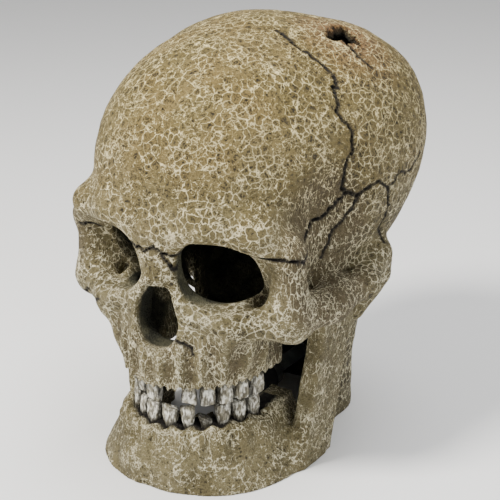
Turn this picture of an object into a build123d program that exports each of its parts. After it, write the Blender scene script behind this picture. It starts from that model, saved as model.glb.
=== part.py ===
from build123d import *
import math
import os

# Hollow cast resin skull for an aquarium, with an air stone inside that bubbles out of a hole in
# the crown. Millimetres, +Z up, the face looks along -Y and the skull's left side is +X. The
# origin is on the floor, under the middle of the head.

# Overall head
HEAD_LENGTH = 146.0
HEAD_WIDTH = 112.0
HEAD_HEIGHT = 165.0
WALL = 4.0

# Levels above the floor
BITE_LEVEL = 31.0
UPPER_CROWN = 8.4
LOWER_CROWN = 7.4
BROW_LEVEL = 101.0
VAULT_UNDERSIDE = 50.0
SOCKET_LEVEL = 84.0
CHEEK_LEVEL = 68.0

# Set-backs from the chin's front, which is the front of the whole head
VAULT_SETBACK = 8.0
BROW_SETBACK = 4.0
CHEEK_SETBACK = 20.0
GUM_SETBACK = 5.0

# Eye sockets, nose and cheeks
SOCKET_HALF_WIDTH = 15.5
SOCKET_HALF_HEIGHT = 14.0
SOCKET_SPACING = 50.0
SOCKET_SPLAY = 16.0
NOSE_HALF_WIDTH = 9.5
NOSE_TOP = 79.0
NOSE_BOTTOM = 55.0
BROW_HALF_WIDTH = 44.0
CHEEK_HALF_WIDTH = 50.0
GUM_HALF_WIDTH = 28.0
GUM_THICKNESS = 9.5

# How the face block narrows above, below and behind the cheekbones
UPPER_JAW_HEIGHT = 10.0
UPPER_JAW_FLARE = 1.0
CHEEK_UNDERCUT = 8.0
CHEEK_TAPER = 9.0
CHEEK_RISE = 4.0
CHEEK_SWELL = 3.0
ORBIT_TAPER = 2.0
ORBIT_SETBACK = 7.0
BROW_HEIGHT = 12.0
BROW_TAPER = 7.0
BROW_LEAN = 4.0
PALATE_STEP = 16.0

# Hole in the crown that the bubbles leave by
VENT_RADIUS = 6.0
VENT_OFFSET_X = 30.0
VENT_OFFSET_Y = 12.0
VENT_REACHES = (1.0, 0.85, 1.1, 0.85, 1.05, 0.85, 1.15, 0.9, 0.95)
VENT_DEPTH = 33.0

# Teeth
ARCH_DEPTH = 30.0
TOOTH_WIDTHS = (7.2, 6.4, 6.6, 6.6, 6.8, 7.6)
TOOTH_DEPTHS = (5.6, 5.4, 6.2, 6.4, 6.8, 7.4)
EDGE_SHARES = (0.45, 0.45, 0.5, 0.7, 0.75, 0.8)
LOWER_SHARE = 0.96
TOOTH_GAP = 0.5
ROOT_RADIUS = 1.6
ROOT_LENGTH = 5.0
ROOT_CLEARANCE = 0.1
STUMP_HEIGHT = 2.6
NECK_SHARES = (0.86, 0.9)
BELLY_SHARE = 0.45
EDGE_WIDTH_SHARE = 0.94
TONGUE_SHARE = 0.72
CORNER_SHARE = 0.18
MISSING_TOOTH = ("upper_left", 1)
STUMP_TOOTH = ("lower_left", 3)

# Lower jaw
JAW_HALF_WIDTH = 41.0
JAW_REACH = 62.0
JAW_THICKNESS = 9.0
RAMUS_LENGTH = 24.0
RAMUS_THICKNESS = 6.5
RAMUS_SETBACK = 40.0
RAMUS_TOP_OFFSET = 45.0
RAMUS_FOOT_FLARE = 4.0
PAD_MARGIN = 3.0

# Skirt under the back of the cranium, which carries the rear on the floor
SKIRT_HALF_WIDTH = 31.0
SKIRT_LENGTH = 54.0
SKIRT_SETBACK = 30.0
SKIRT_FOOT = 10.0
SKIRT_FLARE = 5.0
SKIRT_OVERLAP = 20.0

# Air parts
AIR_LEVEL = 14.0
HOSE_RADIUS = 3.0
HOSE_BORE = 2.0
SPIGOT_RADIUS = 2.0
SPIGOT_LENGTH = 9.0
TAIL_LENGTH = 6.0
SPIGOT_BORE = 1.2
FLANGE_RADIUS = 5.5
FLANGE_THICKNESS = 1.6
SHANK_RADIUS = 3.4
GROMMET_RADIUS = 6.2
GROMMET_LIP = 1.5
GROMMET_NECK = 4.8
BOSS_RADIUS = 10.0
BOSS_THICKNESS = 6.0
BOSS_PROUD = 1.5
STONE_RADIUS = 6.0
STONE_LENGTH = 25.0
NIPPLE_RADIUS = 1.95
NIPPLE_COLLAR = 3.2
NIPPLE_LENGTH = 9.0
NIPPLE_SEAT = 6.0
NIPPLE_BORE = 1.1
NIPPLE_DEPTH = 6.0
HOSE_LENGTH = 20.0
CLIP_WALL = 1.8
CLIP_LENGTH = 9.0
CLIP_CLEARANCE = 0.05
CLIP_MOUTH = 8.0
BRIDGE_THICKNESS = 3.0
MAKE_OVERLAP = 1.0

FRONT = -HEAD_LENGTH / 2
REAR = HEAD_LENGTH / 2
UPPER_GUM = BITE_LEVEL + UPPER_CROWN
LOWER_GUM = BITE_LEVEL - LOWER_CROWN
ARCH_HALF_WIDTH = GUM_HALF_WIDTH - GUM_THICKNESS / 2
BASE = (Align.CENTER, Align.CENTER, Align.MIN)
BOSS_OUTSIDE = REAR - SKIRT_SETBACK + BOSS_PROUD
BOSS_INSIDE = BOSS_OUTSIDE - BOSS_THICKNESS
CONNECTOR_INSIDE = BOSS_INSIDE - GROMMET_LIP - SPIGOT_LENGTH
HOSE_BACK = BOSS_INSIDE - GROMMET_LIP - MAKE_OVERLAP
HOSE_FRONT = HOSE_BACK - HOSE_LENGTH
STONE_BACK = HOSE_FRONT - (NIPPLE_LENGTH - NIPPLE_SEAT)
STONE_FRONT = STONE_BACK - STONE_LENGTH
TAIL_END = BOSS_OUTSIDE + GROMMET_LIP + FLANGE_THICKNESS + TAIL_LENGTH


def ring(level, half_width, front, back, squareness=2.4, points=16):
    """A flat closed outline, between a round and a square, at one height."""
    middle = (front + back) / 2
    reach = (back - front) / 2
    power = 2 / squareness
    spots = []
    for step in range(points):
        angle = 2 * math.pi * step / points
        along = math.copysign(abs(math.cos(angle)) ** power, math.cos(angle))
        across = math.copysign(abs(math.sin(angle)) ** power, math.sin(angle))
        spots.append(Vector(half_width * along, middle + reach * across, level))
    return Face(Wire([Edge.make_spline(spots, periodic=True)]))


def stack(outlines):
    """A smooth solid through outlines of (level, half width, front, back)."""
    return loft([ring(*outline) for outline in outlines])


def ellipsoid(centre, half_sizes):
    """A ball stretched to three half sizes."""
    return Pos(*centre) * scale(Sphere(1), by=half_sizes)


def vault(inset):
    """The brain case, drawn in by the inset."""
    front = FRONT + VAULT_SETBACK
    half_length = (REAR - front) / 2
    half_height = (HEAD_HEIGHT - VAULT_UNDERSIDE) / 2
    centre = (0, front + half_length, VAULT_UNDERSIDE + half_height)
    half_sizes = (HEAD_WIDTH / 2 - inset, half_length - inset, half_height - inset)
    return ellipsoid(centre, half_sizes)


def face(inset, foot):
    """Upper jaw, cheeks and brow as one smooth block, drawn in by the inset."""
    back = FRONT + RAMUS_SETBACK + RAMUS_LENGTH + inset / 2
    gum = FRONT + GUM_SETBACK + inset
    cheek = FRONT + CHEEK_SETBACK + inset
    brow = FRONT + BROW_SETBACK + inset
    outlines = [
        (foot, GUM_HALF_WIDTH - inset, gum, back - PALATE_STEP),
        (UPPER_GUM + UPPER_JAW_HEIGHT, GUM_HALF_WIDTH + UPPER_JAW_FLARE - inset, gum, back - PALATE_STEP + 2),
        (CHEEK_LEVEL - CHEEK_UNDERCUT, CHEEK_HALF_WIDTH - CHEEK_TAPER - inset, cheek - 8, back - 12),
        (CHEEK_LEVEL + CHEEK_RISE, CHEEK_HALF_WIDTH - inset, cheek - CHEEK_SWELL, back - 4),
        (SOCKET_LEVEL, CHEEK_HALF_WIDTH - ORBIT_TAPER - inset, brow + ORBIT_SETBACK, back),
        (BROW_LEVEL - inset / 2, BROW_HALF_WIDTH - inset, brow, back),
        (BROW_LEVEL + BROW_HEIGHT - inset, BROW_HALF_WIDTH - BROW_TAPER - inset, brow + BROW_LEAN, back),
    ]
    return stack(outlines)


def skirt(inset, foot):
    """The base of the skull, which narrows from the brain case down to the floor."""
    back = REAR - SKIRT_SETBACK - inset
    front = REAR - SKIRT_SETBACK - SKIRT_LENGTH - 2 * inset
    half_width = SKIRT_HALF_WIDTH - inset
    outlines = [
        (foot, half_width, front, back),
        (AIR_LEVEL + SKIRT_FOOT, half_width, front, back),
        (VAULT_UNDERSIDE, half_width + SKIRT_FLARE, front, back + 2),
        (VAULT_UNDERSIDE + SKIRT_OVERLAP, half_width + 2, front + 4, back),
    ]
    return stack(outlines)


def both_sides(shape):
    """The shape and its mirror image across the middle of the head."""
    return [shape, mirror(shape, about=Plane.YZ)]


def eye_opening():
    """A tapered plug that opens the left eye socket into the hollow."""
    mouth = Plane(
        origin=(SOCKET_SPACING / 2, FRONT - MAKE_OVERLAP, SOCKET_LEVEL),
        x_dir=(math.cos(math.radians(SOCKET_SPLAY)), math.sin(math.radians(SOCKET_SPLAY)), 0),
        z_dir=(-math.sin(math.radians(SOCKET_SPLAY)), math.cos(math.radians(SOCKET_SPLAY)), 0),
    )
    rim = mouth * Ellipse(SOCKET_HALF_WIDTH + 1, SOCKET_HALF_HEIGHT + 1)
    floor = mouth.offset(CHEEK_SETBACK + 22) * Ellipse(SOCKET_HALF_WIDTH - 3, SOCKET_HALF_HEIGHT - 3)
    return loft([rim, floor])


def nose_opening():
    """The pear-shaped plug of the nose opening."""
    height = NOSE_TOP - NOSE_BOTTOM
    outline = Polyline(
        (0, NOSE_TOP),
        (NOSE_HALF_WIDTH * 0.55, NOSE_TOP - height * 0.3),
        (NOSE_HALF_WIDTH, NOSE_BOTTOM + height * 0.28),
        (NOSE_HALF_WIDTH * 0.7, NOSE_BOTTOM),
        (-NOSE_HALF_WIDTH * 0.7, NOSE_BOTTOM),
        (-NOSE_HALF_WIDTH, NOSE_BOTTOM + height * 0.28),
        (-NOSE_HALF_WIDTH * 0.55, NOSE_TOP - height * 0.3),
        close=True,
    )
    profile = fillet(make_face(outline).vertices(), 1.5)
    front = Plane(origin=(0, FRONT - MAKE_OVERLAP, 0), x_dir=(1, 0, 0), z_dir=(0, -1, 0))
    return extrude(front * profile, -CHEEK_SETBACK - 10)


def arch_path(side):
    """The middle line of the teeth on one side, from the front tooth back."""
    front = FRONT + GUM_SETBACK + GUM_THICKNESS / 2
    middle = front + ARCH_DEPTH
    steps = 24
    spots = []
    for step in range(steps + 1):
        angle = math.pi / 2 * step / steps
        x = side * ARCH_HALF_WIDTH * math.sin(angle)
        spots.append(Vector(x, middle - ARCH_DEPTH * math.cos(angle), 0))
    return Edge.make_spline(spots)


def tooth_places(side, share):
    """Where each tooth of one side stands on the arch, as a point and a turn about Z."""
    path = arch_path(side)
    travelled = 0
    places = []
    for width in TOOTH_WIDTHS:
        middle = travelled + width * share / 2
        travelled += width * share
        point = path.position_at(middle / path.length)
        tangent = path.tangent_at(middle / path.length)
        turn = math.degrees(math.atan2(tangent.Y, tangent.X))
        if side < 0:
            turn += 180
        places.append((point, turn))
    return places


def tooth_section(width, depth):
    """One level of a tooth, wider at the lip side than at the tongue side."""
    lip, tongue = width / 2, width / 2 * TONGUE_SHARE
    outline = Polyline(
        (-lip, -depth / 2),
        (lip, -depth / 2),
        (tongue, depth / 2),
        (-tongue, depth / 2),
        close=True,
    )
    face_shape = make_face(outline)
    return fillet(face_shape.vertices(), min(width, depth) * CORNER_SHARE)


def crown(width, depth, height, edge_share):
    """A tooth's crown standing up from its gum face, which is at zero."""
    levels = [(0, *NECK_SHARES), (height * BELLY_SHARE, 1, 1), (height, EDGE_WIDTH_SHARE, edge_share)]
    sections = [Pos(0, 0, level) * tooth_section(width * w, depth * d) for level, w, d in levels]
    return loft(sections)


def tooth(number, place, share, height, upward):
    """A whole tooth, crown and root, seated on its gum face."""
    width = TOOTH_WIDTHS[number] * share - TOOTH_GAP
    depth = TOOTH_DEPTHS[number] * share
    top = crown(width, depth, height, EDGE_SHARES[number])
    root = Pos(0, 0, -ROOT_LENGTH) * Cylinder(ROOT_RADIUS, ROOT_LENGTH + MAKE_OVERLAP, align=BASE)
    shape = top + root
    point, turn = place
    if upward:
        return Pos(point.X, point.Y, LOWER_GUM) * Rot(0, 0, turn) * shape
    return Pos(point.X, point.Y, UPPER_GUM) * Rot(0, 0, turn) * mirror(shape, about=Plane.XY)


def sockets(level, share, deeper):
    """The root holes of one whole arch."""
    holes = []
    length = ROOT_LENGTH + ROOT_CLEARANCE
    for side in (1, -1):
        for point, turn in tooth_places(side, share):
            hole = Cylinder(ROOT_RADIUS + ROOT_CLEARANCE, length + MAKE_OVERLAP, align=BASE)
            start = level - MAKE_OVERLAP if deeper > 0 else level - length
            holes.append(Pos(point.X, point.Y, start) * hole)
    return holes


def lying(radius, start, end):
    """A round bar along Y at the air parts' level."""
    bar = Plane(origin=(0, start, AIR_LEVEL), z_dir=(0, 1, 0)) * Circle(radius)
    return extrude(bar, end - start)


def ramus_outline(level, offset, thickness, front, length):
    """One level of the left ramus."""
    shape = RectangleRounded(thickness, length, thickness * 0.4)
    return Pos(offset, front + length / 2, level) * shape


def ramus():
    """The left upright of the jaw, from the floor up to the cheek."""
    front = FRONT + RAMUS_SETBACK
    outlines = [
        ramus_outline(0, JAW_HALF_WIDTH - RAMUS_THICKNESS / 2, RAMUS_THICKNESS,
                      front - RAMUS_FOOT_FLARE / 2, RAMUS_LENGTH + RAMUS_FOOT_FLARE),
        ramus_outline(LOWER_GUM, JAW_HALF_WIDTH - 1, RAMUS_THICKNESS, front, RAMUS_LENGTH),
        ramus_outline(CHEEK_LEVEL - CHEEK_UNDERCUT, RAMUS_TOP_OFFSET - 3, RAMUS_THICKNESS, front + 1, RAMUS_LENGTH - 2),
    ]
    return loft(outlines)


def jaw_block(inset, foot, top):
    """The jaw's horseshoe body as a full block, drawn in by the inset."""
    back = FRONT + JAW_REACH + 30
    outlines = [
        (foot, JAW_HALF_WIDTH - inset, FRONT + inset, back),
        (LOWER_GUM * 0.5, JAW_HALF_WIDTH - 5 - inset, FRONT + 1 + inset, back),
        (top, GUM_HALF_WIDTH + 1 - inset, FRONT + GUM_SETBACK - 0.5 + inset, back),
    ]
    return stack(outlines)


def make_jaw():
    body = jaw_block(0, 0, LOWER_GUM)
    body -= jaw_block(JAW_THICKNESS, -MAKE_OVERLAP, LOWER_GUM + MAKE_OVERLAP)
    reach = FRONT + RAMUS_SETBACK + RAMUS_LENGTH * 0.4
    body &= Pos(0, reach - HEAD_LENGTH, 0) * Box(2 * HEAD_WIDTH, 2 * HEAD_LENGTH, HEAD_HEIGHT)
    body += both_sides(ramus())
    return body - sockets(LOWER_GUM, LOWER_SHARE, -1)


def cheek_pad():
    """The left cheekbone's underside, which the ramus is bonded to."""
    front = FRONT + RAMUS_SETBACK - PAD_MARGIN
    length = RAMUS_LENGTH + 2 * PAD_MARGIN
    low = ramus_outline(CHEEK_LEVEL - CHEEK_UNDERCUT, RAMUS_TOP_OFFSET - 3, RAMUS_THICKNESS + 1.5, front + 1, length - 2)
    thick = RAMUS_THICKNESS + PAD_MARGIN
    high = ramus_outline(CHEEK_LEVEL + CHEEK_UNDERCUT, RAMUS_TOP_OFFSET, thick, front, length + 2 * PAD_MARGIN)
    return loft([low, high])


def vent():
    """The jagged plug of the hole in the crown."""
    corners = []
    for number, reach in enumerate(VENT_REACHES):
        angle = 2 * math.pi * number / len(VENT_REACHES)
        corners.append((VENT_RADIUS * reach * math.cos(angle), VENT_RADIUS * reach * math.sin(angle)))
    outline = make_face(Polyline(*corners, close=True))
    place = Pos(VENT_OFFSET_X, VENT_OFFSET_Y, HEAD_HEIGHT - VENT_DEPTH)
    return place * extrude(outline, VENT_DEPTH + MAKE_OVERLAP)


def make_skull():
    outer = vault(0) + [face(0, UPPER_GUM), skirt(0, 0), *both_sides(cheek_pad())]
    hollow = vault(WALL) + face(GUM_THICKNESS, UPPER_GUM - MAKE_OVERLAP) + skirt(WALL, -MAKE_OVERLAP)
    shell = outer - hollow
    shell += lying(BOSS_RADIUS, BOSS_INSIDE, BOSS_OUTSIDE)
    shell -= lying(BOSS_RADIUS + MAKE_OVERLAP, CONNECTOR_INSIDE, BOSS_INSIDE)
    shell -= lying(BOSS_RADIUS, BOSS_OUTSIDE, REAR)
    shell -= lying(GROMMET_NECK, BOSS_INSIDE - MAKE_OVERLAP, BOSS_OUTSIDE + MAKE_OVERLAP)
    return shell - [*both_sides(eye_opening()), nose_opening(), vent(), *sockets(UPPER_GUM, 1.0, 1)]


def make_teeth():
    """Every tooth that is left, by name."""
    teeth = {}
    for row, share, height, upward in (
        ("upper", 1.0, UPPER_CROWN, False),
        ("lower", LOWER_SHARE, LOWER_CROWN, True),
    ):
        for side_name, side in (("left", 1), ("right", -1)):
            for number, place in enumerate(tooth_places(side, share)):
                key = (f"{row}_{side_name}", number + 1)
                if key == MISSING_TOOTH:
                    continue
                tall = STUMP_HEIGHT if key == STUMP_TOOTH else height
                teeth[f"{key[0]}_tooth_{key[1]}"] = tooth(number, place, share, tall, upward)
    return teeth


def make_grommet():
    whole = lying(GROMMET_NECK, BOSS_INSIDE, BOSS_OUTSIDE)
    whole += lying(GROMMET_RADIUS, BOSS_INSIDE - GROMMET_LIP, BOSS_INSIDE)
    whole += lying(GROMMET_RADIUS, BOSS_OUTSIDE, BOSS_OUTSIDE + GROMMET_LIP)
    return whole - lying(SHANK_RADIUS, BOSS_INSIDE - 2 * GROMMET_LIP, BOSS_OUTSIDE + 2 * GROMMET_LIP)


def make_connector():
    outside = BOSS_OUTSIDE + GROMMET_LIP
    whole = lying(SHANK_RADIUS, BOSS_INSIDE - GROMMET_LIP, outside)
    whole += lying(FLANGE_RADIUS, outside, outside + FLANGE_THICKNESS)
    whole += lying(SPIGOT_RADIUS, CONNECTOR_INSIDE, TAIL_END)
    return whole - lying(SPIGOT_BORE, CONNECTOR_INSIDE - MAKE_OVERLAP, TAIL_END + MAKE_OVERLAP)


def make_hose():
    hole = lying(HOSE_BORE, HOSE_FRONT - MAKE_OVERLAP, HOSE_BACK + MAKE_OVERLAP)
    return lying(HOSE_RADIUS, HOSE_FRONT, HOSE_BACK) - hole


def make_stone():
    body = fillet(lying(STONE_RADIUS, STONE_FRONT, STONE_BACK).edges().filter_by(GeomType.CIRCLE), 1.2)
    return body - lying(NIPPLE_RADIUS, STONE_BACK - NIPPLE_DEPTH, STONE_BACK + MAKE_OVERLAP)


def make_nipple():
    whole = lying(NIPPLE_RADIUS, STONE_BACK - NIPPLE_DEPTH, HOSE_FRONT + NIPPLE_SEAT)
    whole += lying(NIPPLE_COLLAR, STONE_BACK, STONE_BACK + (NIPPLE_LENGTH - NIPPLE_SEAT) / 2)
    return whole - lying(NIPPLE_BORE, STONE_BACK - NIPPLE_DEPTH - 1, HOSE_FRONT + NIPPLE_SEAT + 1)


def make_clip():
    """A bridge across the skirt with a sprung ring that the stone slides in."""
    start = (STONE_FRONT + STONE_BACK - CLIP_LENGTH) / 2
    inner = STONE_RADIUS + CLIP_CLEARANCE
    outer = inner + CLIP_WALL
    bar_top = AIR_LEVEL - inner - CLIP_WALL / 2
    bar = Pos(0, start + CLIP_LENGTH / 2, bar_top) * Box(
        HEAD_WIDTH, CLIP_LENGTH, BRIDGE_THICKNESS, align=(Align.CENTER, Align.CENTER, Align.MAX)
    )
    bridge = bar & skirt(WALL, -MAKE_OVERLAP)
    loop = lying(outer, start, start + CLIP_LENGTH)
    mouth = Pos(0, start + CLIP_LENGTH / 2, AIR_LEVEL) * Box(CLIP_MOUTH, CLIP_LENGTH, 2 * outer, align=BASE)
    clip = bridge + (loop - mouth)
    return clip - lying(inner, start - MAKE_OVERLAP, start + CLIP_LENGTH + MAKE_OVERLAP)


os.makedirs("parts", exist_ok=True)
pieces = {
    "skull_casting": make_skull(),
    "jaw_casting": make_jaw(),
    "inlet_grommet": make_grommet(),
    "inlet_connector": make_connector(),
    "airline_hose": make_hose(),
    "air_stone": make_stone(),
    "stone_nipple": make_nipple(),
    "stone_clip": make_clip(),
}
pieces.update(make_teeth())
for name, piece in pieces.items():
    export_step(piece, f"parts/{name}.step")
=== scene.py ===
import math

import bpy
import numpy as np
import openvdb
from mathutils import Matrix, Vector


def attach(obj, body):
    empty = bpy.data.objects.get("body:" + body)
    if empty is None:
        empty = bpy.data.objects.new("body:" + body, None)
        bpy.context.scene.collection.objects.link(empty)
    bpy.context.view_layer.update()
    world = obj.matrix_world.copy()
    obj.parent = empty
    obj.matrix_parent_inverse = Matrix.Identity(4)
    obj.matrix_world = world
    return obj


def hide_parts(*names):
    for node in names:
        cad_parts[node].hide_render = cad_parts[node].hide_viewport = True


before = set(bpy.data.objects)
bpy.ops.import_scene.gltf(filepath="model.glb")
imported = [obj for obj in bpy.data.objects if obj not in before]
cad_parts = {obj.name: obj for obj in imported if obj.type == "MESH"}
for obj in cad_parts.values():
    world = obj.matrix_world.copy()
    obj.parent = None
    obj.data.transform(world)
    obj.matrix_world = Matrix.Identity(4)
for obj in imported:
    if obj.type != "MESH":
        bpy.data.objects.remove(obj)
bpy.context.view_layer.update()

# ---------------------------------------------------------------------------- sizes, millimetres
MM = 0.001
GRID = 0.75
WALL = 4.0
SOCKET = (25.0, -74.0, 84.0)
SOCKET_SPLAY = math.radians(16)
SOCKET_DROOP = math.radians(10)
SOCKET_HALF = (15.5, 14.0)
NOSE_TOP, NOSE_BOTTOM, NOSE_HALF = 79.0, 55.0, 9.5
VENT = (30.0, 12.0, 5.4)
ARCH_CENTRE_Y, ARCH_HALF_WIDTH, ARCH_DEPTH = -33.25, 23.25, 30.0
UPPER_GUM, BITE, LOWER_GUM = 39.4, 31.0, 23.6
TOOTH_WIDTHS = (7.2, 6.4, 6.6, 6.6, 6.8, 7.6)
TOOTH_DEPTHS = (5.6, 5.4, 6.2, 6.4, 6.8, 7.4)
EDGE_SHARES = (0.45, 0.45, 0.55, 0.75, 0.82, 0.86)
LOWER_SHARE = 0.96
TOOTH_GRID = 0.32
EMPTY_SOCKET = (3.6, -63.0)
ROOT_DEPTH = 4.2
TOOTH_MARGIN = 2.0
STUMP_CHIP = 3.0  # a tooth that has lost more than this is painted as a dark stump
CRACK_SHARE = 0.42  # half a crack's width, as a share of the width given in CRACKS
CRACK_DEPTH = 2.6
ROUGH_DEPTH_SKULL, ROUGH_DEPTH_JAW = 0.55, 0.5
ROUGH_REACH = 4
UPPER_RIDGE, LOWER_RIDGE = 2.3, 1.5
JAW_FOOT_HALF, JAW_TAPER = 40.5, 12.0
FAR = 1e3

# ---------------------------------------------------------------------------- camera, light, floor
AZIMUTH, ELEVATION = 33.0, 20.0
DISTANCE = 0.52
AIM = Vector((-0.0020, -0.0013, 0.0712))
FOCAL = 94.5


def make_camera():
    data = bpy.data.cameras.new("camera")
    data.lens = FOCAL
    camera = bpy.data.objects.new("camera", data)
    bpy.context.scene.collection.objects.link(camera)
    azimuth, elevation = math.radians(AZIMUTH), math.radians(ELEVATION)
    toward = Vector((
        math.sin(azimuth) * math.cos(elevation),
        -math.cos(azimuth) * math.cos(elevation),
        math.sin(elevation),
    ))
    camera.location = AIM + toward * DISTANCE
    turn = (-toward).to_track_quat("-Z", "Y").to_matrix().to_4x4()
    camera.matrix_world = Matrix.Translation(camera.location) @ turn
    bpy.context.scene.camera = camera


def make_light(name, place, size, power, colour):
    data = bpy.data.lights.new(name, "AREA")
    data.shape = "DISK"
    data.size = size
    data.energy = power
    data.color = colour
    lamp = bpy.data.objects.new(name, data)
    lamp.location = place
    lamp.rotation_euler = (AIM - Vector(place)).to_track_quat("-Z", "Y").to_euler()
    bpy.context.scene.collection.objects.link(lamp)


def make_floor():
    mesh = bpy.data.meshes.new("floor")
    half = 3.0
    corners = [(-half, -half, 0), (half, -half, 0), (half, half, 0), (-half, half, 0)]
    mesh.from_pydata(corners, [], [(0, 1, 2, 3)])
    floor = bpy.data.objects.new("floor", mesh)
    bpy.context.scene.collection.objects.link(floor)
    material = bpy.data.materials.new("floor")
    material.use_nodes = True
    shader = material.node_tree.nodes["Principled BSDF"]
    shader.inputs["Base Color"].default_value = (0.86, 0.86, 0.86, 1)
    shader.inputs["Roughness"].default_value = 0.8
    mesh.materials.append(material)


def make_world():
    world = bpy.data.worlds.new("world")
    world.use_nodes = True
    background = world.node_tree.nodes["Background"]
    background.inputs["Color"].default_value = (1.0, 1.0, 1.0, 1)
    background.inputs["Strength"].default_value = 0.50
    bpy.context.scene.world = world


make_camera()
make_floor()
make_world()
make_light("key", (-0.22, -0.50, 0.70), 0.22, 13.0, (1.0, 0.97, 0.91))
make_light("fill", (0.65, -0.30, 0.35), 0.5, 2.6, (0.95, 0.97, 1.0))
make_light("top", (0.10, 0.20, 0.80), 0.5, 4.0, (1.0, 1.0, 1.0))


# ---------------------------------------------------------------------------- distance fields
def ball(x, y, z, centre, half):
    """Distance to an ellipsoid, near enough for blending."""
    a, b, c = (x - centre[0]) / half[0], (y - centre[1]) / half[1], (z - centre[2]) / half[2]
    k0 = np.sqrt(a * a + b * b + c * c) + 1e-6
    k1 = np.sqrt((a / half[0]) ** 2 + (b / half[1]) ** 2 + (c / half[2]) ** 2) + 1e-6
    return k0 * (k0 - 1) / k1


def rod(x, y, z, start, end, r0, r1):
    """Distance to a rod with round ends and a tapering radius."""
    ax, ay, az = start
    dx, dy, dz = end[0] - ax, end[1] - ay, end[2] - az
    t = ((x - ax) * dx + (y - ay) * dy + (z - az) * dz) / (dx * dx + dy * dy + dz * dz)
    t = np.clip(t, 0, 1)
    gap = np.sqrt((x - ax - t * dx) ** 2 + (y - ay - t * dy) ** 2 + (z - az - t * dz) ** 2)
    return gap - (r0 + (r1 - r0) * t)


def join(a, b, soft):
    """Smooth union."""
    h = np.clip(0.5 + 0.5 * (b - a) / soft, 0, 1)
    return b + (a - b) * h - soft * h * (1 - h)


def cut(a, b, soft):
    """Shape a with shape b taken out of it, smoothly."""
    return -join(-a, b, soft)


def chain(d, x, y, z, points, soft):
    """Adds rods through points of (place, radius)."""
    for (p0, r0), (p1, r1) in zip(points, points[1:]):
        d = join(d, rod(x, y, z, p0, p1, r0, r1), soft)
    return d


def arch(ax, y, scale_x=ARCH_HALF_WIDTH, scale_y=ARCH_DEPTH):
    """Signed plan distance from the tooth line, negative on the tongue side."""
    back = np.maximum(ARCH_CENTRE_Y - y, 0)
    q = np.sqrt((ax / scale_x) ** 2 + (back / scale_y) ** 2)
    return (q - 1) * (scale_x + scale_y) / 2


def tooth_bumps(ax, y):
    """Root ridges, one for each tooth place."""
    back = np.maximum(ARCH_CENTRE_Y - y, 0)
    along = np.arctan2(ax / ARCH_HALF_WIDTH, back / ARCH_DEPTH) * (ARCH_HALF_WIDTH + ARCH_DEPTH) / 2
    total = 0 * along
    travelled = 0.0
    for width in TOOTH_WIDTHS:
        total = total + np.exp(-(((along - travelled - width / 2) / (0.31 * width)) ** 2))
        travelled += width
    return total


def folded(x):
    """The distance from the middle plane, rounded at the plane so that mirrored shapes meet smoothly."""
    return np.sqrt(x * x + 1.0)


def brain_case(x, ax, y, z):
    d = ball(x, y, z, (0, 4, 108), (55.0, 68.5, 56.8))
    d = join(d, ball(ax, y, z, (10, -26, 112), (33, 40, 40)), 14)
    d = join(d, ball(ax, y, z, (26, 22, 122), (28, 38, 34)), 14)
    return cut(d, ball(ax, y, z, (63, -36, 94), (20, 26, 30)), 9)


def neck(ax, y, z, grow, middle, reach):
    """The base that carries the back of the head, a rounded square in plan."""
    half = 31 + grow + 5 * np.clip((z - 24) / 26, 0, 1)
    q = ((ax / half) ** 2.4 + (np.abs(y - middle) / reach) ** 2.4) ** (1 / 2.4)
    return np.maximum((q - 1) * 28, z - 66)


def skull_outside(x, ax, y, z):
    d = brain_case(x, ax, y, z)
    d = join(d, neck(ax, y, z, 0, 16, 27), 7)
    d = join(d, rod(ax, y, z, (45, 12, 68), (41, 6, 54), 8, 4.5), 6)
    face = ball(ax, y, z, (0, -46, 60), (32, 22, 24))
    gum = np.maximum(np.abs(arch(ax, y)) - 4.9, np.abs(z - 48) - 9.0)
    gum = np.maximum(gum, y + 24)
    face = join(face, gum, 5)
    face = chain(face, ax, y, z, (
        ((0, -62, 98), 6.6), ((20, -63, 103), 5.8), ((36, -57, 101), 5.4), ((44, -48, 92), 5.0),
        ((44, -46, 78), 4.6), ((43, -47, 68), 6.0), ((25, -59.5, 65), 5.4), ((10, -61, 72), 4.5),
        ((7, -61, 90), 5.0),
    ), 5)
    for level in (94, 84, 74):
        face = join(face, rod(ax, y, z, (42, -45, level), (31, -28, level), 4.2, 6.0), 7)
    face = chain(face, ax, y, z, (((0, -60, 92), 6.2), ((0, -66, 80), 5.0)), 4)
    face = chain(face, ax, y, z, (
        ((43, -44, 67), 7.5), ((50, -28, 69), 5.6), ((53, -8, 71), 4.6), ((50, 10, 77), 4.0),
    ), 6)
    face = chain(face, ax, y, z, (((42, -20, 62), 6.0), ((47, -20, 70), 6.0)), 5)
    face = cut(face, ball(ax, y, z, (22, -70, 58), (8, 7, 9)), 6)
    return join(d, face, 8)


def hollow(x, ax, y, z):
    d = brain_case(x, ax, y, z) + WALL
    d = join(d, neck(ax, y, z, -4, 10, 29), 5)
    d = join(d, ball(ax, y, z, (0, -38, 68), (25, 19, 34)), 6)
    d = join(d, ball(ax, y, z, (20, -44, 84), (13, 15, 14)), 4)
    mouth = np.maximum(np.maximum(arch(ax, y) + 4.6, z - 60), y + 20)
    return join(d, mouth, 4)


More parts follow.
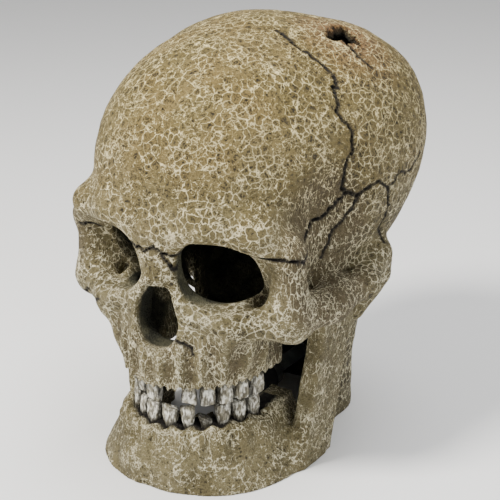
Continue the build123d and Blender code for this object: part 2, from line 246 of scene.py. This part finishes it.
def eye_socket(ax, y, z):
    px, py, pz = ax - SOCKET[0], y - SOCKET[1], z - SOCKET[2]
    along = -px * math.sin(SOCKET_SPLAY) + py * math.cos(SOCKET_SPLAY)
    across = px * math.cos(SOCKET_SPLAY) + py * math.sin(SOCKET_SPLAY)
    u = across * math.cos(SOCKET_DROOP) - pz * math.sin(SOCKET_DROOP)
    v = across * math.sin(SOCKET_DROOP) + pz * math.cos(SOCKET_DROOP)
    shrink = 1.02 - 0.008 * np.clip(along, 0, 40)
    q = ((np.abs(u) / SOCKET_HALF[0]) ** 2.3 + (np.abs(v) / SOCKET_HALF[1]) ** 2.3) ** (1 / 2.3)
    return np.maximum((q - shrink) * SOCKET_HALF[1], along - 46)


def nose(ax, y, z):
    t = np.clip((z - NOSE_BOTTOM) / (NOSE_TOP - NOSE_BOTTOM), 0, 1)
    half = NOSE_HALF * (0.35 + 0.65 * np.maximum(np.sin(np.pi * t ** 0.7), 0) ** 0.8)
    d = np.maximum(ax - half, np.abs(z - (NOSE_TOP + NOSE_BOTTOM) / 2) - (NOSE_TOP - NOSE_BOTTOM) / 2)
    return np.maximum(d, y + 45)


def vent(x, y, z):
    px, py = x - VENT[0], y - VENT[1]
    angle = np.arctan2(py, px)
    jag = 0.24 * np.sin(3 * angle + 1) + 0.14 * np.sin(7 * angle) + 0.08 * np.sin(13 * angle)
    radius = VENT[2] * (1 + jag)
    return np.maximum((np.sqrt(px * px + 0.6 * py * py) - radius) * 0.8, 130 - z)


# ---------------------------------------------------------------------------- cracks
# Each crack runs over one side of the head: "front" points are (x, z), "side" points are (y, z).
CRACKS = (
    ("front", 1.0, ((-13, 90), (-8, 93), (-3, 91), (2, 94), (8, 91), (12, 92))),
    ("front", 0.7, ((5, 92), (7, 86), (10, 82), (13, 78))),
    ("front", 0.8, ((-44, 90), (-40, 91), (-36, 89))),
    ("front", 0.6, ((-44, 62), (-38, 65), (-34, 62), (-28, 66))),
    ("front", 0.5, ((9, 60), (13, 58), (15, 54))),
    ("left", 0.9, ((-60, 92), (-54, 93), (-48, 91), (-44, 95), (-38, 93))),
    ("left", 1.1, ((-38, 93), (-30, 100), (-24, 101), (-18, 108), (-12, 107), (-4, 110), (2, 106))),
    ("left", 0.9, ((-18, 108), (-20, 118), (-15, 128), (-17, 138), (-10, 148), (-12, 158), (-8, 166))),
    ("left", 0.7, ((-12, 107), (-16, 98), (-21, 92), (-24, 84))),
    ("left", 0.9, ((2, 106), (6, 98), (4, 90), (9, 82))),
    ("left", 0.6, ((2, 106), (12, 110), (20, 108), (30, 113))),
    ("left", 0.6, ((9, 158), (6, 152), (8, 148))),
    ("right", 0.8, ((-50, 92), (-42, 94), (-34, 99), (-22, 104), (-10, 103))),
    ("right", 0.8, ((-22, 104), (-20, 118), (-16, 130), (-14, 144), (-10, 158))),
    ("right", 0.6, ((-10, 103), (-4, 92), (-8, 84))),
)


def roughen(points, seed, step=1.6, swing=1.0):
    """A crack's line with small sideways kicks."""
    rng = np.random.default_rng(seed)
    line = []
    for (u0, v0), (u1, v1) in zip(points, points[1:]):
        count = max(2, int(math.hypot(u1 - u0, v1 - v0) / step))
        for k in range(count):
            t = k / count
            kick = rng.normal(0, swing * 0.6, 2) if k else (0, 0)
            line.append((u0 + (u1 - u0) * t + kick[0], v0 + (v1 - v0) * t + kick[1]))
    line.append(points[-1])
    return line


def crack_gap(u, v, line, width):
    """Distance to a crack's line less its half width, which narrows to half at the far end."""
    best = np.full(np.broadcast(u, v).shape, FAR, np.float32)
    total = len(line) - 1
    for k, ((u0, v0), (u1, v1)) in enumerate(zip(line, line[1:])):
        du, dv = u1 - u0, v1 - v0
        t = np.clip(((u - u0) * du + (v - v0) * dv) / (du * du + dv * dv + 1e-9), 0, 1)
        taper = CRACK_SHARE * width * (1 - 0.5 * (k + t) / total)
        best = np.minimum(best, np.sqrt((u - u0 - t * du) ** 2 + (v - v0 - t * dv) ** 2) - taper)
    return best


CRACK_LINES = [(side, width, roughen(points, 40 + k)) for k, (side, width, points) in enumerate(CRACKS)]


def cracks(x, y, z):
    """The nearest crack's distance, on the side of the head that it runs over."""
    best = np.full(np.broadcast(x, y, z).shape, FAR, np.float32)
    for side, width, line in CRACK_LINES:
        if side == "front":
            gap = crack_gap(x, z, line, width) + np.where(y < -30, 0, FAR)
        elif side == "left":
            gap = crack_gap(y, z, line, width) + np.where(x > 14, 0, FAR)
        else:
            gap = crack_gap(y, z, line, width) + np.where(x < -14, 0, FAR)
        best = np.minimum(best, gap)
    return best


# ---------------------------------------------------------------------------- noise
def value_noise(shape_points, size, seed):
    """Smooth random values for points, with features of about the given size."""
    rng = np.random.default_rng(seed)
    table = rng.uniform(-1, 1, (32, 32, 32)).astype(np.float32)
    scaled = [np.asarray(c, np.float32) / size + 64 for c in shape_points]
    low = [np.floor(c).astype(np.int32) for c in scaled]
    part = [c - l for c, l in zip(scaled, low)]
    part = [p * p * (3 - 2 * p) for p in part]
    total = 0
    for i in (0, 1):
        for j in (0, 1):
            for k in (0, 1):
                corner = table[(low[0] + i) % 32, (low[1] + j) % 32, (low[2] + k) % 32]
                weight = (part[0] if i else 1 - part[0]) * (part[1] if j else 1 - part[1])
                total = total + corner * weight * (part[2] if k else 1 - part[2])
    return total


def roughened(d, x, y, z, depth, seed):
    """The field with cast bone's lumps, from broad to fine, added near its surface."""
    full = np.broadcast_arrays(x, y, z)
    near = np.abs(d) < ROUGH_REACH
    points = [c[near] for c in full]
    lumps = 0.9 * value_noise(points, 17, seed)
    lumps += 0.4 * value_noise(points, 7, seed + 1)
    lumps += 0.22 * value_noise(points, 2.6, seed + 2)
    d = d.copy()
    d[near] += depth * lumps
    return d


# ---------------------------------------------------------------------------- castings as fields
def skull_field(x, y, z):
    ax = folded(x)
    outside = skull_outside(x, ax, y, z)
    ridge = tooth_bumps(ax, y) * np.clip((64 - z) / 14, 0, 1)
    outside = outside - UPPER_RIDGE * ridge * (arch(ax, y) > 0) * (y < -20)
    outside = roughened(outside, x, y, z, ROUGH_DEPTH_SKULL, 3)
    d = cut(outside, hollow(x, ax, y, z), 1.0)
    d = cut(d, eye_socket(ax, y, z), 3.0)
    d = cut(d, nose(ax, y, z), 1.5)
    d = np.maximum(d, -vent(x, y, z))
    line = np.maximum(cracks(x, y, z), -outside - CRACK_DEPTH)
    d = np.maximum(d, -line)
    d = np.maximum(d, -z)
    margin = UPPER_GUM - 0.6 + 2.4 * tooth_bumps(ax, y) + 0.9 * np.sin(1.9 * x + 1.3 * y)
    d = np.maximum(d, np.minimum(margin - z, -18 - y))
    hole_x, hole_y = EMPTY_SOCKET
    socket = rod(x, y, z, (hole_x, hole_y, UPPER_GUM - 2), (hole_x, hole_y, UPPER_GUM + 5), 2.7, 1.8)
    return np.maximum(d, -socket)


def jaw_field(x, y, z):
    ax = folded(x)
    t = np.clip(z / LOWER_GUM, 0, 1)
    half = JAW_FOOT_HALF - JAW_TAPER * t ** 1.2
    front = -72.5 + 4.5 * t + 1.6 * np.sin(np.pi * t)
    middle = (front + 19) / 2
    reach = (19 - front) / 2
    q = ((ax / half) ** 2.4 + (np.abs(y - middle) / reach) ** 2.4) ** (1 / 2.4)
    body = (q - 1) * half
    body = np.maximum(np.abs(body + 4.6) - 4.6, z - LOWER_GUM - 1.2)
    body = np.maximum(body, y + 18)
    chin = ball(ax, y, z, (6, -68, 8), (10, 5.5, 8))
    body = join(body, chin, 5)
    centre = 37.5 + 7.0 * np.clip(z / 60, 0, 1)
    lean = -20 + 3.0 * np.clip(z / 60, 0, 1)
    past_x = np.maximum(np.abs(ax - centre) - 1.6, 0)
    past_y = np.maximum(np.abs(y - lean) - 9.5, 0)
    side = np.sqrt(past_x ** 2 + past_y ** 2) - 2.0
    side = np.maximum(side, z - 61.5)
    d = join(body, side, 6)
    ridge = tooth_bumps(ax, y) * np.clip(1 - np.abs(z - 19) / 9, 0, 1)
    d = d - LOWER_RIDGE * ridge * (y < -22)
    d = roughened(d, x, y, z, ROUGH_DEPTH_JAW, 23)
    margin = LOWER_GUM + 0.8 - 2.2 * tooth_bumps(ax, y) + 0.7 * np.sin(1.7 * x - 1.4 * y) + 40 * (y > -30)
    d = np.maximum(d, z - margin)
    return np.maximum(d, -z)


def mesh_piece(name, points, triangles, quads, order):
    """A smooth shaded object from points in millimetres. Order -1 turns every face over."""
    mesh = bpy.data.meshes.new(name)
    faces = [tuple(int(i) for i in f[::order]) for f in triangles]
    faces += [tuple(int(i) for i in f[::order]) for f in quads]
    mesh.from_pydata((points * MM).tolist(), [], faces)
    mesh.polygons.foreach_set("use_smooth", np.ones(len(mesh.polygons), bool))
    mesh.update()
    piece = bpy.data.objects.new(name, mesh)
    bpy.context.scene.collection.objects.link(piece)
    return piece


def polygonise(name, field, low, high):
    """Turns a field into a mesh object, in slabs to keep memory small."""
    axes = [np.arange(low[k], high[k] + GRID, GRID, dtype=np.float32) for k in range(3)]
    values = np.empty([len(a) for a in axes], np.float32)
    for start in range(0, len(axes[0]), 40):
        x = axes[0][start:start + 40, None, None]
        values[start:start + 40] = field(x, axes[1][None, :, None], axes[2][None, None, :])
    grid = openvdb.FloatGrid(50.0)
    grid.copyFromArray(np.clip(values, -3, 3))
    points, triangles, quads = grid.convertToPolygons(isovalue=0.0, adaptivity=0.0)
    points = points * GRID + np.array([a[0] for a in axes])
    return mesh_piece(name, points, triangles, quads, -1), points


# ---------------------------------------------------------------------------- shader helpers
class Graph:
    """Short calls for building one material's nodes."""

    def __init__(self, name):
        self.material = bpy.data.materials.new(name)
        self.material.use_nodes = True
        self.tree = self.material.node_tree
        self.shader = self.tree.nodes["Principled BSDF"]
        coordinates = self.tree.nodes.new("ShaderNodeTexCoord")
        self.place = self.vector("SCALE", coordinates.outputs["Object"], scale=1 / MM)

    def plug(self, socket, value):
        if isinstance(value, bpy.types.NodeSocket):
            self.tree.links.new(value, socket)
        else:
            socket.default_value = value

    def vector(self, operation, a, b=None, scale=None):
        node = self.tree.nodes.new("ShaderNodeVectorMath")
        node.operation = operation
        self.plug(node.inputs[0], a)
        if b is not None:
            self.plug(node.inputs[1], b)
        if scale is not None:
            node.inputs["Scale"].default_value = scale
        return node.outputs[0]

    def maths(self, operation, a, b=0.0):
        node = self.tree.nodes.new("ShaderNodeMath")
        node.operation = operation
        self.plug(node.inputs[0], a)
        self.plug(node.inputs[1], b)
        return node.outputs[0]

    def times(self, *values):
        """The product of two or more values."""
        product = values[0]
        for value in values[1:]:
            product = self.maths("MULTIPLY", product, value)
        return product

    def component(self, vector, number):
        node = self.tree.nodes.new("ShaderNodeSeparateXYZ")
        self.plug(node.inputs[0], vector)
        return node.outputs[number]

    def noise(self, size, detail=3.0, where=None, colour=False):
        node = self.tree.nodes.new("ShaderNodeTexNoise")
        self.plug(node.inputs["Vector"], where or self.place)
        node.inputs["Scale"].default_value = 1 / size
        node.inputs["Detail"].default_value = detail
        return node.outputs["Color" if colour else "Fac"]

    def cells(self, size, where=None, feature="DISTANCE_TO_EDGE"):
        node = self.tree.nodes.new("ShaderNodeTexVoronoi")
        node.feature = feature
        self.plug(node.inputs["Vector"], where or self.place)
        node.inputs["Scale"].default_value = 1 / size
        return node.outputs["Distance"]

    def warped(self, size, amount):
        """The place, shifted by up to about half the amount, in millimetres."""
        drift = self.vector("SUBTRACT", self.noise(size, 2.0, colour=True), (0.5, 0.5, 0.5))
        return self.vector("ADD", self.place, self.vector("SCALE", drift, scale=amount))

    def span(self, value, low, high, to_low=0.0, to_high=1.0):
        node = self.tree.nodes.new("ShaderNodeMapRange")
        node.interpolation_type = "SMOOTHSTEP"
        self.plug(node.inputs["Value"], value)
        node.inputs["From Min"].default_value = low
        node.inputs["From Max"].default_value = high
        node.inputs["To Min"].default_value = to_low
        node.inputs["To Max"].default_value = to_high
        return node.outputs[0]

    def mix(self, share, a, b):
        node = self.tree.nodes.new("ShaderNodeMix")
        node.data_type = "RGBA"
        self.plug(node.inputs[0], share)
        self.plug(node.inputs[6], (*a, 1) if isinstance(a, tuple) else a)
        self.plug(node.inputs[7], (*b, 1) if isinstance(b, tuple) else b)
        return node.outputs[2]

    def layer(self, name, channel):
        """One painted mask of the mesh, such as its crack paint and painted shade."""
        node = self.tree.nodes.new("ShaderNodeAttribute")
        node.attribute_name = name
        parts = self.tree.nodes.new("ShaderNodeSeparateColor")
        self.tree.links.new(node.outputs["Color"], parts.inputs[0])
        return parts.outputs[channel]

    def finish(self, colour, height, depth_mm, roughness):
        bump = self.tree.nodes.new("ShaderNodeBump")
        bump.inputs["Strength"].default_value = 1.0
        bump.inputs["Distance"].default_value = depth_mm * MM
        self.plug(bump.inputs["Height"], height)
        self.tree.links.new(bump.outputs[0], self.shader.inputs["Normal"])
        self.plug(self.shader.inputs["Base Color"], colour)
        self.plug(self.shader.inputs["Roughness"], roughness)
        self.shader.inputs["Specular IOR Level"].default_value = 0.3
        return self.material


def bone_material():
    """Olive tan cast bone, dark in its pits and dry brushed cream on its raised crackle.

    The masks are red crack paint and painted shade, green wear and blue fibre. The tints are red painted
    shade in the hollow, the eye sockets and the nose, green red stain, and blue the brown of the temples
    and of the grooves between the roots.
    """
    g = Graph("bone")
    crack_paint_and_shade, wear, fibre = (g.layer("masks", k) for k in range(3))
    inside_shade, stain, temple = (g.layer("tints", k) for k in range(3))
    drifted = g.warped(2.4, 2.4)
    edges = g.cells(3.3, drifted)
    wide = g.span(edges, 0.0, 0.085, 1.0, 0.0)
    sunk = g.span(edges, 0.07, 0.34)
    fine = g.span(g.cells(1.45, g.warped(1.5, 1.3)), 0.0, 0.15, 1.0, 0.0)
    patch = g.span(g.noise(9.0, 3.0), 0.40, 0.58, 0.25, 1.0)
    rest = g.span(g.noise(6.0, 2.0), 0.42, 0.60, 0.15, 1.0)
    crackle = g.maths("ADD", g.times(wide, patch, 1.05), g.times(fine, rest, 0.70))
    grain = g.vector("MULTIPLY", g.warped(3.2, 1.9), (1.0, 1.0, 0.36))
    long_veins = g.span(g.cells(1.9, grain), 0.0, 0.085, 1.0, 0.0)
    short_grain = g.vector("MULTIPLY", g.warped(1.6, 1.0), (1.0, 1.0, 0.5))
    short_veins = g.span(g.cells(1.0, short_grain), 0.0, 0.13, 1.0, 0.0)
    streak = g.maths("ADD", g.times(long_veins, patch, 0.95), g.times(short_veins, rest, 0.60))
    calm = g.maths("SUBTRACT", 1.0, g.times(fibre, 0.90))
    relief = g.maths("ADD", g.times(crackle, calm), g.times(streak, fibre, 0.95))
    relief = g.maths("SUBTRACT", relief, g.times(sunk, calm, 0.26))
    grit = g.times(g.maths("SUBTRACT", g.noise(0.55, 5.0), 0.5), 1.7)
    lump = g.times(g.maths("SUBTRACT", g.noise(1.7, 3.0), 0.5), 1.1)
    relief = g.maths("ADD", relief, g.maths("ADD", grit, lump))
    pits = g.span(g.cells(2.3, g.warped(2.4, 2.0), "F1"), 0.08, 0.28, 1.0, 0.0)
    pits = g.times(pits, g.span(g.noise(7.0, 2.0), 0.48, 0.60))
    relief = g.maths("SUBTRACT", relief, g.times(pits, 0.65))
    lit = g.maths("ADD", relief, g.times(wear, 0.28))
    high = g.span(g.component(g.place, 2), 70.0, 150.0)
    olive = g.mix(g.span(g.noise(20.0, 3.0), 0.38, 0.62), (0.108, 0.088, 0.038), (0.178, 0.150, 0.074))
    warm = g.mix(g.span(g.noise(30.0, 2.0), 0.42, 0.62), (0.180, 0.132, 0.038), (0.225, 0.156, 0.046))
    olive = g.mix(g.times(high, 0.75), olive, warm)
    olive = g.mix(g.times(stain, 0.70), olive, (0.240, 0.112, 0.045))
    olive = g.mix(g.times(temple, 0.80), olive, (0.075, 0.055, 0.026))
    colour = g.mix(g.span(lit, -0.50, 0.06), (0.022, 0.016, 0.006), olive)
    cream = g.mix(high, (0.760, 0.690, 0.470), (0.820, 0.680, 0.340))
    colour = g.mix(g.span(lit, 0.22, 1.02), colour, cream)
    # Painted shade: the hollow's interior and the far parts of the eye sockets and nose are darkened to
    # near black.
    inside_shade_colour = g.mix(g.span(g.noise(8.0, 3.0), 0.4, 0.6), (0.020, 0.020, 0.011), (0.070, 0.067, 0.038))
    colour = g.mix(inside_shade, colour, inside_shade_colour)
    # Near black: dark paint in the cracks, and painted shade on the vent's walls and where the teeth meet
    # the gums.
    colour = g.mix(crack_paint_and_shade, colour, (0.007, 0.005, 0.003))
    return g.finish(colour, relief, 0.75, g.span(g.noise(3.0), 0.3, 0.7, 0.62, 0.86))


def tooth_material():
    """Grey white enamel with dark grain, and painted shade almost black at the gum.

    The red mask is painted shade near the gum and beside the neighbours, and the dark of a broken stump.
    """
    g = Graph("tooth")
    gum = g.layer("masks", 0)
    stretched = g.vector("MULTIPLY", g.warped(2.5, 0.9), (1.0, 1.0, 0.26))
    flecks = g.span(g.noise(0.75, 5.0, stretched), 0.46, 0.60)
    cloud = g.span(g.noise(2.6, 3.0), 0.38, 0.60)
    enamel = g.mix(cloud, (0.230, 0.210, 0.150), (0.700, 0.680, 0.590))
    enamel = g.mix(g.times(flecks, 0.85), enamel, (0.070, 0.060, 0.040))
    # Painted shade: near black at the neck and towards the neighbours.
    neck = g.times(gum, g.span(g.noise(1.2, 3.0), 0.30, 0.52, 0.55, 1.0))
    colour = g.mix(neck, enamel, (0.012, 0.009, 0.005))
    height = g.maths("SUBTRACT", g.noise(0.8, 5.0, stretched), g.times(flecks, 0.9))
    return g.finish(colour, height, 0.45, 0.60)


def paint(piece, name, red, green, blue):
    """Stores three masks, 0 to 1, on the mesh's points."""
    colours = np.ones((len(red), 4), np.float32)
    for k, mask in enumerate((red, green, blue)):
        colours[:, k] = np.clip(mask, 0, 1)
    layer = piece.data.attributes.new(name, "FLOAT_COLOR", "POINT")
    layer.data.foreach_set("color", colours.ravel())


# ---------------------------------------------------------------------------- pieces
def fade(value, near, far):
    """1 up to near, 0 past far."""
    return np.clip((far - value) / (far - near), 0, 1)


def make_skull(material):
    piece, points = polygonise("skull_shell", skull_field, (-60, -78, -2), (60, 76, 169))
    x, y, z = points.T
    ax = folded(x)
    outside = skull_outside(x, ax, y, z)
    # Painted shade: darker the further a point lies below the outer surface, and far into the eye sockets
    # and nose.
    hollow_shade = fade(-outside, 3.2, 1.4)
    # Dark paint in and beside the cracks, near the outer surface.
    crack_paint_and_shade = fade(np.abs(cracks(x, y, z)), 0.15, 0.75)
    # Painted shade on the vent hole's walls, below the outer surface.
    crack_paint_and_shade = np.maximum(crack_paint_and_shade * (outside > -4), 0.7 * fade(np.abs(vent(x, y, z)), 0.3, 1.6) * (outside < -0.8))
    rims = fade(eye_socket(ax, y, z), 1.0, 5.0)
    hollow_shade = np.maximum(hollow_shade, fade(eye_socket(ax, y, z), -0.5, 1.0) * fade(-outside, 9.0, 4.5))
    hollow_shade = np.maximum(hollow_shade, fade(nose(ax, y, z), -0.5, 1.0) * fade(-outside, 7.0, 3.5))
    rims = np.maximum(rims, 0.8 * fade(np.abs(nose(ax, y, z)), 0.5, 3.0))
    cheek = fade(ball(ax, y, z, (43, -44, 67), (10, 8, 9)), 2, 9)
    gum = fade(np.abs(z - UPPER_GUM - 1.0), 1.0, 3.4) * (y < -25)
    crest = tooth_bumps(ax, y) ** 10 * fade(np.abs(z - 50), 6, 13) * (y < -22)
    brow = fade(rod(ax, y, z, (0, -64, 100), (40, -58, 102), 5, 5), 1, 9)
    wear = np.maximum.reduce([rims, 0.5 * cheek, gum, crest, 0.4 * brow])
    # Painted shade: a near black band on the gum just above the upper teeth, where they sit in it.
    upper_gum_shade = fade(z, UPPER_GUM + 1.0, UPPER_GUM + 2.5) * fade(np.abs(arch(ax, y)), 2.6, 4.2) * (y < -24)
    crack_paint_and_shade = np.maximum(crack_paint_and_shade, upper_gum_shade)
    temple = fade(ball(ax, y, z, (52, -32, 90), (14, 24, 30)), -2, 5)
    fibre = fade(np.abs(z - 50), 9, 14) * (y < -22)
    fibre = np.maximum(fibre, fade(ball(ax, y, z, (50, -34, 90), (14, 22, 26)), -2, 6))
    red = fade(np.hypot(x - VENT[0], y - VENT[1]), 4, 22) * (z > 125)
    groove = (1 - np.clip(tooth_bumps(ax, y), 0, 1)) * fade(np.abs(z - 50), 8, 13) * (y < -24)
    temple = np.maximum(temple, groove * (arch(ax, y) > 2))
    paint(piece, "masks", crack_paint_and_shade, wear, fibre)
    paint(piece, "tints", hollow_shade, red, temple)
    piece.data.materials.append(material)
    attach(piece, "ornament")
    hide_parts("skull_casting")


def arch_point(side, travelled):
    """A place on the tooth line, by its distance from the front, and the direction out to the lips."""
    steps = 400
    x0, y0, walked = 0.0, ARCH_CENTRE_Y - ARCH_DEPTH, 0.0
    for k in range(1, steps + 1):
        angle = math.pi / 2 * k / steps
        x1 = ARCH_HALF_WIDTH * math.sin(angle)
        y1 = ARCH_CENTRE_Y - ARCH_DEPTH * math.cos(angle)
        walked += math.hypot(x1 - x0, y1 - y0)
        if walked >= travelled:
            break
        x0, y0 = x1, y1
    along = np.array([x1 - x0, y1 - y0]) / math.hypot(x1 - x0, y1 - y0)
    outward = np.array([along[1], -along[0]])
    return np.array([x1 * side, y1]), np.array([outward[0] * side, outward[1]])


# Damaged teeth: name and (missing height, slope along the edge)
CHIPS = {
    "upper_right_tooth_2": (1.3, 0.35),
    "upper_left_tooth_2": (0.9, -0.30),
    "upper_right_tooth_4": (0.5, -0.20),
    "lower_left_tooth_1": (0.6, 0.25),
    "lower_left_tooth_3": (4.6, 0.45),
    "lower_right_tooth_2": (0.5, -0.25),
}


def make_tooth(name, row, side, number, travelled, material, seed):
    share = LOWER_SHARE if row == "lower" else 1.0
    upward = 1 if row == "lower" else -1
    gum = LOWER_GUM if row == "lower" else UPPER_GUM
    tall = abs(BITE - gum) - 0.1
    rng = np.random.default_rng(seed)
    width = (TOOTH_WIDTHS[number] * share - 0.5) * rng.uniform(0.94, 1.0)
    depth = TOOTH_DEPTHS[number] * share * rng.uniform(0.95, 1.03)
    edge = EDGE_SHARES[number]
    chip, slope = CHIPS.get(name, (rng.uniform(0.0, 0.35), rng.uniform(-0.08, 0.08)))
    centre, outward = arch_point(side, travelled)
    centre = centre + outward * rng.uniform(-0.3, 0.4)
    lean = rng.uniform(-0.05, 0.05)
    across = np.array([-outward[1], outward[0]])

    def field(u, v, w):
        t = np.clip(w / tall, -0.8, 1)
        neck = 0.66 if upward > 0 else 0.76
        swell = neck + (1.02 - neck) * np.sin(np.pi / 2 * np.clip(t * 1.25 + 0.05, 0, 1))
        swell = swell - 0.10 * np.clip(-t, 0, 1)
        thick = 1 - (1 - edge) * np.clip(t, 0, 1) ** 1.3 - 0.20 * np.clip(0.35 - t, 0, 1)
        shift = u - lean * w
        taper = 1 - 0.22 * np.clip(-v / depth + 0.1, 0, 1)
        a = np.abs(shift) / (width / 2 * swell * taper)
        b = np.abs(v - 0.10 * depth * (1 - thick)) / (depth / 2 * thick)
        d = ((a ** 4.0 + b ** 3.0) ** (1 / 3.5) - 1) * width / 2
        top = tall - chip - slope * shift
        d = -join(-d, -(w - top), 0.6)
        d = np.maximum(d, -ROOT_DEPTH - w)
        lumps = 0.24 * value_noise((u, v, w * 0.22), 1.2, seed)
        return d + (lumps + 0.14 * value_noise((u, v, w), 0.7, seed + 1))

    half = width / 2 + TOOTH_MARGIN
    axes = [np.arange(-half, half, TOOTH_GRID, dtype=np.float32) for _ in range(2)]
    axes[1] = np.arange(-depth / 2 - TOOTH_MARGIN, depth / 2 + TOOTH_MARGIN, TOOTH_GRID, dtype=np.float32)
    axes.append(np.arange(-5.2, tall + 1.2, TOOTH_GRID, dtype=np.float32))
    values = field(axes[0][:, None, None], axes[1][None, :, None], axes[2][None, None, :])
    grid = openvdb.FloatGrid(50.0)
    grid.copyFromArray(np.ascontiguousarray(np.clip(values, -2, 2), np.float32))
    points, triangles, quads = grid.convertToPolygons(isovalue=0.0, adaptivity=0.0)
    points = points * TOOTH_GRID + np.array([a[0] for a in axes])
    u, v, w = points.T
    placed = np.stack([
        centre[0] + across[0] * u + outward[0] * v,
        centre[1] + across[1] * u + outward[1] * v,
        gum + upward * w,
    ], axis=1)
    flip = -1 if upward > 0 else 1
    piece = mesh_piece(name.replace("_tooth_", "_crown_"), placed, triangles, quads, flip)
    # Painted shade towards the neighbouring teeth and up from the gum; a stump is painted dark.
    side_shade = fade(width / 2 - np.abs(u), 0.10, 0.90) * 0.80
    dark = 0.85 if chip > STUMP_CHIP else 0.0
    paint(piece, "masks", np.maximum.reduce([fade(w, -0.8, 2.2), side_shade, dark + 0 * w]), 0 * w, 0 * w)
    piece.data.materials.append(material)
    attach(piece, "ornament")
    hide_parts(name)


def make_teeth(material):
    for row, share in (("upper", 1.0), ("lower", LOWER_SHARE)):
        for side_name, side in (("left", 1), ("right", -1)):
            travelled = 0.0
            for number, width in enumerate(TOOTH_WIDTHS):
                middle = travelled + width * share / 2
                travelled += width * share
                name = f"{row}_{side_name}_tooth_{number + 1}"
                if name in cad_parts:
                    seed = 100 + 20 * (row == "upper") + 7 * (side > 0) + number
                    make_tooth(name, row, side, number, middle, material, seed)


def make_jaw(material):
    piece, points = polygonise("jaw_shell", jaw_field, (-52, -79, -2), (52, 0, 66))
    x, y, z = points.T
    ax = folded(x)
    # Painted shade: the interior of the jaw's horseshoe, darkened at half strength.
    jaw_inside_shade = fade(arch(ax, y, 26, 36), -8, -3) * (z < 25)
    gum = fade(np.abs(z - LOWER_GUM), 1.0, 5.0) * (y < -25)
    fibre = 0.45 + 0.4 * fade(-z, -22, -8)
    # Painted shade: near black along the jaw's top, where the lower teeth sit in it.
    top = fade(-z, -LOWER_GUM + 1.6, -LOWER_GUM + 3.2) * fade(np.abs(arch(ax, y)), 3.0, 4.6) * (y < -26)
    paint(piece, "masks", top, 0.8 * gum, fibre)
    paint(piece, "tints", 0.5 * jaw_inside_shade, 0 * x, 0 * x)
    piece.data.materials.append(material)
    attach(piece, "ornament")
    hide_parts("jaw_casting")


def plain_material(name, colour, roughness, grain_mm, depth_mm, transmission=0.0, contrast=0.25):
    """Moulded or sintered stuff: one colour with a little cloud and a fine grain."""
    g = Graph(name)
    darker = tuple(c * (1 - contrast) for c in colour)
    cloud = g.mix(g.span(g.noise(4.0, 3.0), 0.35, 0.65), darker, colour)
    material = g.finish(cloud, g.noise(grain_mm, 4.0), depth_mm, roughness)
    g.shader.inputs["Transmission Weight"].default_value = transmission
    return material


def dress(node, material):
    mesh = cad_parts[node].data
    mesh.materials.clear()
    mesh.materials.append(material)


def dress_air_parts():
    dress("air_stone", plain_material("sintered", (0.115, 0.120, 0.115), 0.95, 0.5, 0.35, contrast=0.5))
    clear = plain_material("clear_plastic", (0.80, 0.83, 0.84), 0.25, 2.0, 0.01, transmission=0.6)
    dress("stone_nipple", clear)
    dress("inlet_connector", clear)
    dress("airline_hose", plain_material("silicone", (0.55, 0.58, 0.56), 0.35, 3.0, 0.02, transmission=0.5))
    dress("inlet_grommet", plain_material("rubber", (0.022, 0.022, 0.023), 0.75, 0.6, 0.05))
    dress("stone_clip", plain_material("black_plastic", (0.010, 0.010, 0.010), 0.80, 0.5, 0.03))


bone, enamel = bone_material(), tooth_material()
make_skull(bone)
make_jaw(bone)
make_teeth(enamel)
dress_air_parts()
